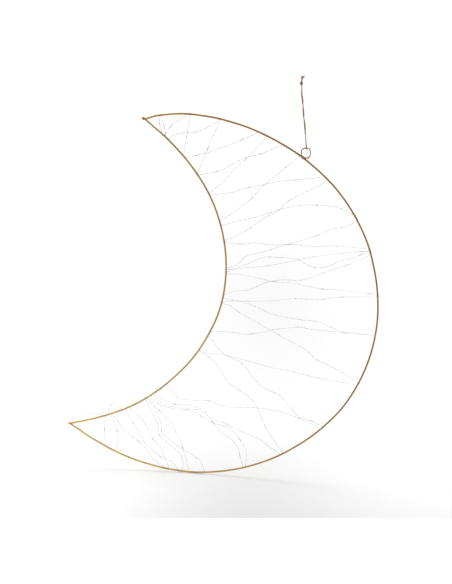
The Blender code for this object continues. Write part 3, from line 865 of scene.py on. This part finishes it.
def ring_loop_line(first, last, side):
    """A loop that stands up in front of the ring, with close turns before and after it.

    The turns before it end at the hoop's front, where the loop starts. Those after it end on the
    side where the string didn't come in.
    """
    points = wrap_line(hoop_seat, first, RING_LOOP_FROM, side, 1.0 if side == FRONT else 1.5)
    loop = [Vector((x, 0.0, z)) + RING_LOOP_STAND * FRONT for x, z in RING_LOOP]
    before = hoop_point(RING_LOOP_FROM) + WRAP_RADIUS * FRONT
    after = hoop_point(RING_LOOP_TO) + WRAP_RADIUS * FRONT
    points += smooth([before, *loop, after], 5)
    turns = round((hoop_point(last) - after).length / WRAP_PITCH)
    points += wrap_line(hoop_seat, RING_LOOP_TO, last, FRONT, turns + 0.5 if side == FRONT else turns)
    return points


def end_line(stations, side):
    """A free end of the string, beside the inner rod."""
    points = []
    for percent, off in stations:
        seat, away = inner_seat(percent)
        points.append(seat + off * away + WRAP_RADIUS * side)
    return smooth(points, 4)


def string_route():
    """The string's centreline from feed end to tail, and the place and heading of each lamp."""
    side = FRONT
    points = end_line(FEED_END, side)
    lamps = []
    for number, run in enumerate(RUNS, start=1):
        line = run_line(run, side)
        distances = travelled(line)
        lamp = run[2]
        while lamp < distances[-1] - LED_END_ROOM:
            lamps.append(along_line(line, distances, lamp))
            lamp += LED_PITCH
        outwards = number % 2 == 1
        points += reversed(line) if outwards else line
        if number == len(RUNS):
            break
        following = RUNS[number]
        part, seat = (0, hoop_seat) if outwards else (1, inner_seat)
        first, last = run[part], following[part]
        if number in (LOOSE_LOOP_AFTER_RUN, RING_LOOP_AFTER_RUN):
            special_line = loose_line if number == LOOSE_LOOP_AFTER_RUN else ring_loop_line
            points += special_line(first, last, side)
            side = -side
            continue
        span = (seat(last)[0] - seat(first)[0]).length
        turns = max(1, round(span / WRAP_PITCH))
        if number != WHOLE_TURN_AFTER_RUN:
            turns += 0.5
        points += wrap_line(seat, first, last, side, turns)
        if number != WHOLE_TURN_AFTER_RUN:
            side = -side
    points += wrap_line(inner_seat, RUNS[-1][1], TAIL_END[0][0], side, 1.5)
    points += end_line(TAIL_END, -side)
    return points, lamps


string_points, lamp_places = string_route()
string_length = travelled(string_points)[-1]
print(f"string: {string_length:.2f} m with {len(lamp_places)} lamps")

# %% [markdown]
# ## The twin wire
#
# Two fine wires lie side by side and turn slowly round each other. Their lacquer is clear, over a
# silvered core, so they shine white and are hardly seen against a white wall. The silver is dull
# in patches, and its lower half is painted paler: painted light.

# %% Silvered wire
# The heights between which painted light turns the silver from grey to its brightest
PAINTED_LIGHT_FROM = -0.05
PAINTED_LIGHT_TO = -0.13
silver, place = start_material("silvered_copper_wire", Metallic=1.0, Coat_Weight=0.3)
dull = soft_pattern(silver, place, 9.0, 2.0, 0.42, 0.66)
height = add_node(silver, "ShaderNodeSeparateXYZ", {"Vector": place}).outputs["Z"]
# Painted light: the silver is made paler from these heights downwards
lower = add_node(
    silver, "ShaderNodeMapRange", {"Value": height, "From Min": PAINTED_LIGHT_FROM, "From Max": PAINTED_LIGHT_TO}
).outputs["Result"]
# Both tones carry the painted light of the lower half
shiny_silver_and_painted_light = layered(silver, "#9C9B98", (lower, 1.0, "#CECDCA"))
dull_silver_and_painted_light = layered(silver, "#6A6865", (lower, 1.0, "#92908D"))
draw_marks = soft_pattern(silver, place, 0.4)
silver_colour = layered(silver, shiny_silver_and_painted_light, (dull, 1.0, dull_silver_and_painted_light))
feed_shader(silver, silver_colour, (dull, 0.2, 0.34), (draw_marks, 0.01, 0.4))

# %% The twin wire
WIRE_RADIUS = 0.00011
WIRE_SIDES = 6
TWIST_PITCH = 0.012
wire_lines = twisted(string_points, 2, WIRE_RADIUS, TWIST_PITCH)
string = strands("twin_wire", wire_lines, WIRE_RADIUS, WIRE_SIDES, merge=0.000002)
finish_piece(string, "twin_wire", silver, "string_wire", "moon", "led_string")

# %% [markdown]
# ## The lamps
#
# Each lamp is a tiny LED that is soldered across the two wires and sealed in a drop of clear
# epoxy. The drop is drawn out along the wire, thick at the middle and pointed at both ends. It
# is modelled once from a ball, pulled to its shape, and copied to every lamp. The LED inside is a
# white box with a yellow face of phosphor.

# %% Epoxy, package and phosphor
epoxy, place = start_material(
    "clear_epoxy", Transmission_Weight=1.0, IOR=1.5, Roughness=0.04, Base_Color=colour("#FFFEFA")
)
feed_shader(epoxy, relief=(soft_pattern(epoxy, place, 1.2, 1.0), 0.05, 0.4))


def grained(name, roughness, grain_mm, pale, deep):
    """A matt material with a fine grain of two tones."""
    material, place = start_material(name, Roughness=roughness)
    feed_shader(material, layered(material, pale, (soft_pattern(material, place, grain_mm), 1.0, deep)))
    return material


package = grained("moulded_white_package", 0.45, 0.4, "#F4F2EC", "#E6E2D8")
phosphor = grained("yellow_phosphor", 0.6, 0.3, "#F0DA8C", "#E2C468")

# %% The lamps
LED_LENGTH = 0.0044
LED_WIDTH = 0.0017
DROP_POINT = 0.55
ON_THE_AXIS = 0.0001
PACKAGE_SIZE = (0.0010, 0.0007, 0.0004)
PHOSPHOR_SIZE = (0.0007, 0.0005, 0.0001)
EDGE_SHARE = 0.15


def copies(master, places, lift):
    """The master at each place, its length along the heading, raised by lift, all in one piece."""
    made = []
    for number, (point, heading) in enumerate(places):
        side = heading.cross(FRONT).normalized()
        spin = 2 * math.pi * noise.noise(point / LED_PITCH + Vector((0.0, 0.0, number)))
        side.rotate(Matrix.Rotation(spin, 3, heading))
        over = heading.cross(side)
        turn = Matrix((heading, side, over)).transposed()
        copy = master.copy()
        copy.data = master.data.copy()
        bpy.context.scene.collection.objects.link(copy)
        copy.data.transform(Matrix.Translation(point + lift * over) @ turn.to_4x4())
        made.append(copy)
    bpy.data.objects.remove(master, do_unlink=True)
    clear_selection()
    for copy in made:
        copy.select_set(True)
    bpy.context.view_layer.objects.active = made[0]
    bpy.ops.object.join()
    return bpy.context.object


clear_selection()
bpy.ops.mesh.primitive_uv_sphere_add(segments=10, ring_count=8, radius=0.5, rotation=(0, math.pi / 2, 0))
drop = bpy.context.object
settle(drop, "epoxy_drop")
for vertex in drop.data.vertices:
    slimness = (1 - (2 * abs(vertex.co.x)) ** 2) ** DROP_POINT if abs(vertex.co.x) < 0.5 else 0.0
    roundness = math.hypot(vertex.co.y, vertex.co.z)
    swell = 0.5 * slimness / roundness if roundness > ON_THE_AXIS else 1.0
    width = LED_WIDTH * swell
    vertex.co = Vector((vertex.co.x * LED_LENGTH, vertex.co.y * width, vertex.co.z * width))
bpy.ops.object.shade_smooth()
drops = copies(drop, lamp_places, 0.0)
finish_piece(drops, "epoxy_drops", epoxy, "string_wire", "moon")


def small_box(name, size):
    """A moulded box of this size with rounded edges."""
    clear_selection()
    bpy.ops.mesh.primitive_cube_add(size=1.0)
    block = bpy.context.object
    block.scale = size
    settle(block, name)
    bpy.ops.object.mode_set(mode="EDIT")
    bpy.ops.mesh.select_all(action="SELECT")
    bpy.ops.mesh.bevel(offset=EDGE_SHARE * size[2], segments=1)
    bpy.ops.object.mode_set(mode="OBJECT")
    return block


packages = copies(small_box("led_package", PACKAGE_SIZE), lamp_places, 0.0)
finish_piece(packages, "led_packages", package, "string_wire", "moon")
face_lift = (PACKAGE_SIZE[2] + PHOSPHOR_SIZE[2]) / 2
faces = copies(small_box("led_face", PHOSPHOR_SIZE), lamp_places, face_lift)
finish_piece(faces, "led_faces", phosphor, "string_wire", "moon")

# %% [markdown]
# ## The twine
#
# The moon hangs by a loop of jute twine that is threaded through the ring and knotted above it.
# Twine is three plies laid round each other, and each ply is a bundle of coarse fibres. Both
# halves of the loop leave the ring one behind the other and turn round each other on the way up.
# Jute is matt and blotchy. It is darker just above the ring, and the knot is a darker, greyer
# copy of the jute: a painted shade. The fibres of the cut ends are fresh and orange.

# %% Jute
# The heights above the ring between which the darker foot fades out
DARK_FOOT_BOTTOM = 0.010
DARK_FOOT_TOP = 0.022


def jute_finish(name, pale, deep, light):
    """Jute with blotches from pale to deep, fine light fibres, and a foot that is darker by the ring."""
    material, place = start_material(name, Roughness=0.85, Sheen_Weight=0.08)
    drawn_out = add_node(material, "ShaderNodeMapping", {"Vector": place, "Scale": (1.0, 1.0, 0.25)})
    fine = soft_pattern(material, drawn_out.outputs["Vector"], 0.25, 3.0)
    blotch = soft_pattern(material, place, 2.6)
    height = add_node(material, "ShaderNodeSeparateXYZ", {"Vector": place}).outputs["Z"]
    # Darker towards the ring, below these heights
    darker_foot = add_node(
        material,
        "ShaderNodeMapRange",
        {"Value": height, "From Min": DARK_FOOT_TOP, "From Max": DARK_FOOT_BOTTOM},
    )
    layers = (blotch, 1.0, deep), (fine, 0.6, light), (darker_foot.outputs["Result"], 0.8, deep)
    feed_shader(material, layered(material, pale, *layers), relief=(fine, 0.08, 0.8))
    return material


jute = jute_finish("jute_twine", "#AE8044", "#6C5034", "#C89C58")
# The knot's jute is a darker, greyer copy of the twine's: a painted shade
shaded_knot_jute = jute_finish("painted_shade_jute_knot", "#74644E", "#4C4030", "#86745C")
teased_jute = jute_finish("teased_jute_fibre", "#CC8C4C", "#A86C34", "#DCA868")

# %% The twine's route
TWINE = 0.0010
TWINE_LEAN = 5.0
TWINE_KNOT_HEIGHT = 0.0712
KNOT_ENTRY = 0.0700
STRAIGHT_TOP = 0.0130
LEG_TWISTS = 1.5
LEG_GAP = 0.00042
TURN_ROOM = 0.0001
LEG_STEPS = 60
TURN_STEPS = 10
LEAN_TURN = Matrix.Rotation(math.radians(-TWINE_LEAN), 3, "Y")
# Heights above the ring, and the millimetres that the limp twine lies right of a straight line
TWINE_WAVES = [
    (0.0, 0.9), (0.028, 0.9), (0.039, 0.5), (0.054, 0.5), (0.061, 0.1), (0.068, 0.6), (0.0712, 0.65),
]


def sway(height):
    """How far the limp twine has moved sideways at this height."""
    return Vector((wave(TWINE_WAVES, height), 0.0, 0.0))


def half_loop(hand):
    """One half of the loop, from below the ring's wire to the knot; hand is 1 or -1."""
    turn_radius = RING_WIRE / 2 + TWINE / 2 + TURN_ROOM
    points = []
    for step in range(TURN_STEPS):
        angle = math.radians(90.0 * step / TURN_STEPS)
        height = RING_RADIUS - turn_radius * math.cos(angle)
        points.append(Vector((0.0, -hand * turn_radius * math.sin(angle), height)))
    for step in range(TURN_STEPS):
        share = step / TURN_STEPS
        out = turn_radius + (LEG_GAP - turn_radius) * eased(share)
        height = RING_RADIUS + (STRAIGHT_TOP - RING_RADIUS) * share
        points.append(Vector((0.0, -hand * out, height)))
    for step in range(LEG_STEPS + 1):
        share = step / LEG_STEPS
        angle = 2 * math.pi * LEG_TWISTS * eased(share)
        offset = Vector((math.sin(angle), -math.cos(angle), 0.0)) * hand * LEG_GAP
        points.append(offset + Vector((0.0, 0.0, STRAIGHT_TOP + (KNOT_ENTRY - STRAIGHT_TOP) * share)))
    return [LEAN_TURN @ (point + sway(point.z)) for point in points]


front_half = half_loop(1)
back_half = half_loop(-1)

# %% The twine's two halves
PLY_RADIUS = 0.00024
PLY_OFFSET = 0.00026
PLY_PITCH = 0.0042
PLY_SIDES = 8
halves = []
for name, route, nodes in (
    ("twine_front_half", front_half, ("twine_turn", "twine_leg_left")),
    ("twine_back_half", back_half, ("twine_turn", "twine_leg_right")),
):
    plies = twisted(route, 3, PLY_OFFSET, PLY_PITCH)
    half = strands(name, plies, PLY_RADIUS, PLY_SIDES, merge=0.000005)
    finish_piece(half, name, jute, "jute_twine", None, *nodes)
    halves.append(half)

# %% [markdown]
# ## The knot and the frayed ends
#
# The two ends are tied in one overhand knot, pulled tight, so it looks like slanting bands round
# a core. A neck of fibres rises out of it, and above that the twine opens into two tassels of
# loose fibres. The knot and the neck have a darker, greyer copy of the jute, a painted shade. A
# fibre is a thin tapering curve, and its bend is drawn from a seeded random generator, so it is
# the same each time.

# %% The knot
KNOT_RADIUS = 0.00088
KNOT_RISE = 0.0027
KNOT_TURNS = 2.75
KNOT_STEPS = 44
KNOT_SLANT = 0.0005
KNOT_SLANT_TURN = 0.6
TUCK_STEPS = 8
TUCK_SWELL = 0.45
TUCK_DROP = 0.9 * KNOT_RISE
NECK_FOOT = 0.0004
NECK_TOP = 0.0048
NECK_LEAN = 0.0009
NECK_STEPS = 10
NECK_PLIES = 5
NECK_OFFSET = 0.00042
KNOT_SWAY = sway(TWINE_KNOT_HEIGHT)
KNOT_MIDDLE = Vector((0.0, 0.0, TWINE_KNOT_HEIGHT))
rng = random.Random(7)


def leaned(points):
    """The points beside or above the upright knot, moved and leaned over as the twine is."""
    return [LEAN_TURN @ (point + KNOT_SWAY) for point in points]


knot_line = []
for step in range(KNOT_STEPS + 1):
    share = step / KNOT_STEPS
    angle = 2 * math.pi * KNOT_TURNS * share
    slant = KNOT_SLANT * math.cos(angle + KNOT_SLANT_TURN)
    height = TWINE_KNOT_HEIGHT - KNOT_RISE / 2 + KNOT_RISE * share + slant
    knot_line.append(Vector((KNOT_RADIUS * math.cos(angle), KNOT_RADIUS * math.sin(angle), height)))
tuck_height = knot_line[-1].z
for step in range(1, TUCK_STEPS + 1):
    share = step / TUCK_STEPS
    angle = 2 * math.pi * KNOT_TURNS - math.pi * share
    out = KNOT_RADIUS * (1 + TUCK_SWELL * math.sin(math.pi * share))
    height = tuck_height - TUCK_DROP * share
    knot_line.append(Vector((out * math.cos(angle), out * math.sin(angle), height)))
knot_plies = twisted(leaned(knot_line), 3, PLY_OFFSET, PLY_PITCH)
neck_foot = KNOT_MIDDLE + Vector((0.0, 0.0, NECK_FOOT))
neck_top = KNOT_MIDDLE + Vector((NECK_LEAN, 0.0, NECK_TOP))
neck_line = [neck_foot.lerp(neck_top, step / NECK_STEPS) for step in range(NECK_STEPS + 1)]
knot_plies += twisted(leaned(neck_line), NECK_PLIES, NECK_OFFSET, PLY_PITCH)
knot = strands("twine_knot_bands", knot_plies, PLY_RADIUS, PLY_SIDES, merge=0.000005)
finish_piece(knot, "twine_knot_bands", shaded_knot_jute, "jute_twine", "twine_loop", "twine_knot")

# %% The frayed ends
FIBRE_RADIUS = 0.00010
FIBRE_STEPS = 6
FIBRE_TAPER = 0.6
RIPPLE_SHARE = 0.4
TASSEL_FIBRES = 48
TASSEL_LENGTH = 0.0070
TASSEL_NECK = 0.0034
TASSEL_LEAN = 0.0020
NECK_LEAN_SHARE = 0.3
SHORTEST_SHARE = 0.8
TASSEL_FLATNESS = 0.7
# How far a tassel's middle lies from the other's, at its root and at its fan
ROOT_APART = Vector((0.0001, 0.0, 0.0))
FAN_APART = Vector((0.0009, 0.0, 0.0))
ROOT_HEIGHT = Vector((0.0, 0.0, 0.0010))
# How far the fibres spread out from the middle, and how much they curl
ROOT_SPREAD, NECK_SPREAD, FAN_SPREAD = 0.0004, 0.0003, 0.0012
NECK_CURL, FAN_CURL = 0.0001, 0.0003


def fibre_line(root, tip, curl):
    """A tapering fibre from root to tip, bent sideways by about curl."""
    bend = Vector([rng.uniform(-curl, curl) for _ in range(3)])
    ripple = Vector([rng.uniform(-curl, curl) for _ in range(3)]) * RIPPLE_SHARE
    line = []
    for step in range(FIBRE_STEPS + 1):
        share = step / FIBRE_STEPS
        aside = bend * math.sin(math.pi * share) + ripple * math.sin(2 * math.pi * share)
        line.append((LEAN_TURN @ (root.lerp(tip, share) + aside), 1.0 - FIBRE_TAPER * share))
    return line


tassels = []
for name, hand, node in (
    ("frayed_end_left", -1, "twine_end_left"),
    ("frayed_end_right", 1, "twine_end_right"),
):
    fibres = []
    foot = KNOT_MIDDLE + KNOT_SWAY + ROOT_HEIGHT + hand * ROOT_APART
    for number in range(TASSEL_FIBRES):
        turn = rng.uniform(0.0, 2 * math.pi)
        out = math.sqrt(rng.random())
        ring_out = out * Vector((math.cos(turn), TASSEL_FLATNESS * math.sin(turn), 0.0))
        root = foot + ROOT_SPREAD * ring_out
        neck_rise = Vector((NECK_LEAN_SHARE * TASSEL_LEAN, 0.0, TASSEL_NECK))
        neck = foot + neck_rise + NECK_SPREAD * ring_out
        reach = TASSEL_LENGTH * rng.uniform(SHORTEST_SHARE, 1.0)
        tip = foot + Vector((TASSEL_LEAN, 0.0, reach)) + hand * FAN_APART + FAN_SPREAD * ring_out
        fibres.append(fibre_line(root, neck, NECK_CURL)[:-1] + fibre_line(neck, tip, FAN_CURL))
    tassel = strands(name, fibres, FIBRE_RADIUS, 4, merge=0.000001)
    tassels.append(finish_piece(tassel, name, teased_jute, "jute_twine", "twine_loop", node))

# %% [markdown]
# ## Fuzz
#
# Jute is hairy. Short fibres stand off both halves of the loop, and a whisker of four fibres
# sticks out of the knot to the left.

# %% Fuzz
FUZZ_FIBRES = 110
FUZZ_LOWEST = 0.0165
FUZZ_RADIUS = 0.00004
FUZZ_ROOT = 0.0003
FUZZ_CURL = 0.0003
FUZZ_SHORTEST, FUZZ_LONGEST = 0.0007, 0.0018
FUZZ_DOWN, FUZZ_UP = -0.8, 1.2
WHISKER_LIFTS = (-0.0002, 0.0, 0.0002, 0.0004)
WHISKER_ROOT = Vector((-0.0008, -0.0004, 0.0))
WHISKER_REACH = Vector((-0.0022, -0.0003, -0.0014))
hairs = []
for number in range(FUZZ_FIBRES):
    route = front_half if number % 2 else back_half
    here = LEAN_TURN.inverted() @ rng.choice(route[2 * TURN_STEPS :])
    if here.z < FUZZ_LOWEST:
        continue
    turn = rng.uniform(0.0, 2 * math.pi)
    out = Vector((math.cos(turn), math.sin(turn), rng.uniform(FUZZ_DOWN, FUZZ_UP))).normalized()
    length = rng.uniform(FUZZ_SHORTEST, FUZZ_LONGEST)
    root = here + FUZZ_ROOT * Vector((math.cos(turn), math.sin(turn), 0.0))
    hairs.append(fibre_line(root, root + length * out, FUZZ_CURL))
for lift in WHISKER_LIFTS:
    lifted = Vector((0.0, 0.0, lift))
    root = KNOT_MIDDLE + KNOT_SWAY + WHISKER_ROOT + lifted
    hairs.append(fibre_line(root, root + WHISKER_REACH + lifted, FUZZ_CURL))
fuzz = strands("twine_fuzz", hairs, FUZZ_RADIUS, 4, merge=0.000001)
finish_piece(fuzz, "twine_fuzz", jute, "jute_twine", "twine_loop")

# %% The twine halves' places baked into their meshes
for half, route, extra in (
    (halves[0], front_half, (knot, tassels[0])),
    (halves[1], back_half, (tassels[1], fuzz)),
):
    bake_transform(half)
print("cords:", ", ".join(half.name for half in halves))

# %% [markdown]
# ## Floor and light
#
# The photograph has a white studio ground with soft grey patches of shade that end in a straight
# front edge, and a thin shadow at the foot of the moon. The patches are painted shade on the
# floor. The floor shows the camera its own light, a little under white, and keeps the share of
# lamplight that a shadow can take away. The room's light is plain: a pale world, a soft sun lamp
# above, and a weaker one in front.

# %% Seen and reflected
def seen_factor(material):
    """1 for the rays of the camera and of what gloss and glass show, and 0 for plain light."""
    rays = add_node(material, "ShaderNodeLightPath")
    total = rays.outputs["Is Camera Ray"]
    for kind in ("Is Glossy Ray", "Is Transmission Ray"):
        inputs = {0: total, 1: rays.outputs[kind]}
        total = add_node(material, "ShaderNodeMath", inputs, operation="ADD", use_clamp=True).outputs[0]
    return total


# %% The floor
FLOOR_SIZE = 8.0
FLOOR_GAP = 0.00005
FLOOR_COLOUR = 0.8
FLOOR_GLOW = 0.25
# The patches of painted shade: the middle of each, its half width and half depth, and how dark it is
SHADE_PATCHES = [
    ((-0.06, -0.25), (0.21, 0.46), 0.31),
    ((-0.015, 0.55), (0.18, 0.58), 0.095),
    ((0.13, -0.30), (0.22, 0.34), 0.26),
]
PATCH_FRONT = -0.0866
PATCH_BACK = -0.0846
bpy.context.view_layer.update()
floor_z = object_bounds()[0][2] - FLOOR_GAP
clear_selection()
bpy.ops.mesh.primitive_plane_add(size=FLOOR_SIZE, location=(0.0, 0.0, floor_z))
floor = bpy.context.object
settle(floor, "studio_floor")
paper, place = start_material("white_studio_paper", Roughness=1.0, Specular_IOR_Level=0.0)
squared = add_node(
    paper, "ShaderNodeMapping", {"Vector": place, "Rotation": (0.0, 0.0, -yaw)}
).outputs["Vector"]
grey = 0.0
# Each patch adds painted shade to the floor
for (middle_x, middle_y), (half_wide, half_deep), darkness in SHADE_PATCHES:
    centred = add_node(
        paper,
        "ShaderNodeMapping",
        {
            "Vector": squared,
            "Location": (-middle_x / half_wide, -middle_y / half_deep, 0.0),
            "Scale": (1 / half_wide, 1 / half_deep, 0.0),
        },
    )
    round_patch = add_node(
        paper, "ShaderNodeTexGradient", {"Vector": centred.outputs["Vector"]}, gradient_type="SPHERICAL"
    )
    soft = add_node(
        paper,
        "ShaderNodeMapRange",
        {"Value": round_patch.outputs["Fac"], "To Max": darkness},
        interpolation_type="SMOOTHSTEP",
    )
    inputs = {0: grey, 1: soft.outputs["Result"]}
    grey = add_node(paper, "ShaderNodeMath", inputs, operation="ADD").outputs[0]
across = add_node(paper, "ShaderNodeSeparateXYZ", {"Vector": squared})
behind_edge = add_node(
    paper,
    "ShaderNodeMapRange",
    {"Value": across.outputs["Y"], "From Min": PATCH_FRONT, "From Max": PATCH_BACK},
    interpolation_type="SMOOTHSTEP",
)
inputs = {0: grey, 1: behind_edge.outputs["Result"]}
shade = add_node(paper, "ShaderNodeMath", inputs, operation="MULTIPLY")
inputs = {0: 1.0, 1: shade.outputs[0]}
light_share = add_node(paper, "ShaderNodeMath", inputs, operation="SUBTRACT").outputs[0]
tone = add_node(paper, "ShaderNodeMath", {0: light_share, 1: FLOOR_COLOUR}, operation="MULTIPLY")
feed_shader(paper, tone.outputs[0])
inputs = {0: seen_factor(paper), 1: light_share}
own_light = add_node(paper, "ShaderNodeMath", inputs, operation="MULTIPLY")
glow = add_node(
    paper,
    "ShaderNodeEmission",
    {"Color": (FLOOR_GLOW, FLOOR_GLOW, FLOOR_GLOW, 1.0), "Strength": own_light.outputs[0]},
)
diffuse = paper.node_tree.nodes["Principled BSDF"]
both = add_node(paper, "ShaderNodeAddShader", {0: diffuse.outputs["BSDF"], 1: glow.outputs["Emission"]})
paper_output = paper.node_tree.nodes["Material Output"]
paper.node_tree.links.new(both.outputs["Shader"], paper_output.inputs["Surface"])
floor.data.materials.append(paper)
print(f"floor at {MM_PER_METRE * floor_z:.1f} mm")

# %% The room's light
ROOM_LIGHT = 0.55
world = bpy.data.worlds.new("white_studio")
bpy.context.scene.world = world
world.use_nodes = True
room = world.node_tree.nodes["Background"]
room.inputs["Color"].default_value = (1.0, 1.0, 1.0, 1.0)
inputs = {"Value": seen_factor(world), "To Min": ROOM_LIGHT, "To Max": 1.0}
strength = add_node(world, "ShaderNodeMapRange", inputs)
world.node_tree.links.new(strength.outputs["Result"], room.inputs["Strength"])

bpy.context.scene.view_settings.view_transform = "Standard"
# Each lamp: its name, where its light comes from, its strength and its width in degrees
for name, heading, power, width in (
    ("lamp_above", Vector((-0.2, 0.2, 1.0)), 1.2, 25.0),
    ("lamp_front", Vector((0.35, -0.85, 0.45)), 0.6, 40.0),
):
    bpy.ops.object.light_add(type="SUN", location=HOOP_CENTRE + heading)
    lamp = bpy.context.object
    lamp.name = name
    lamp.data.energy = power
    lamp.data.angle = math.radians(width)
    lamp.rotation_euler = heading.to_track_quat("Z", "Y").to_euler()
    lamp.visible_glossy = False
    print(f"{name}: strength {power}")

# %% Finish
bpy.context.view_layer.update()
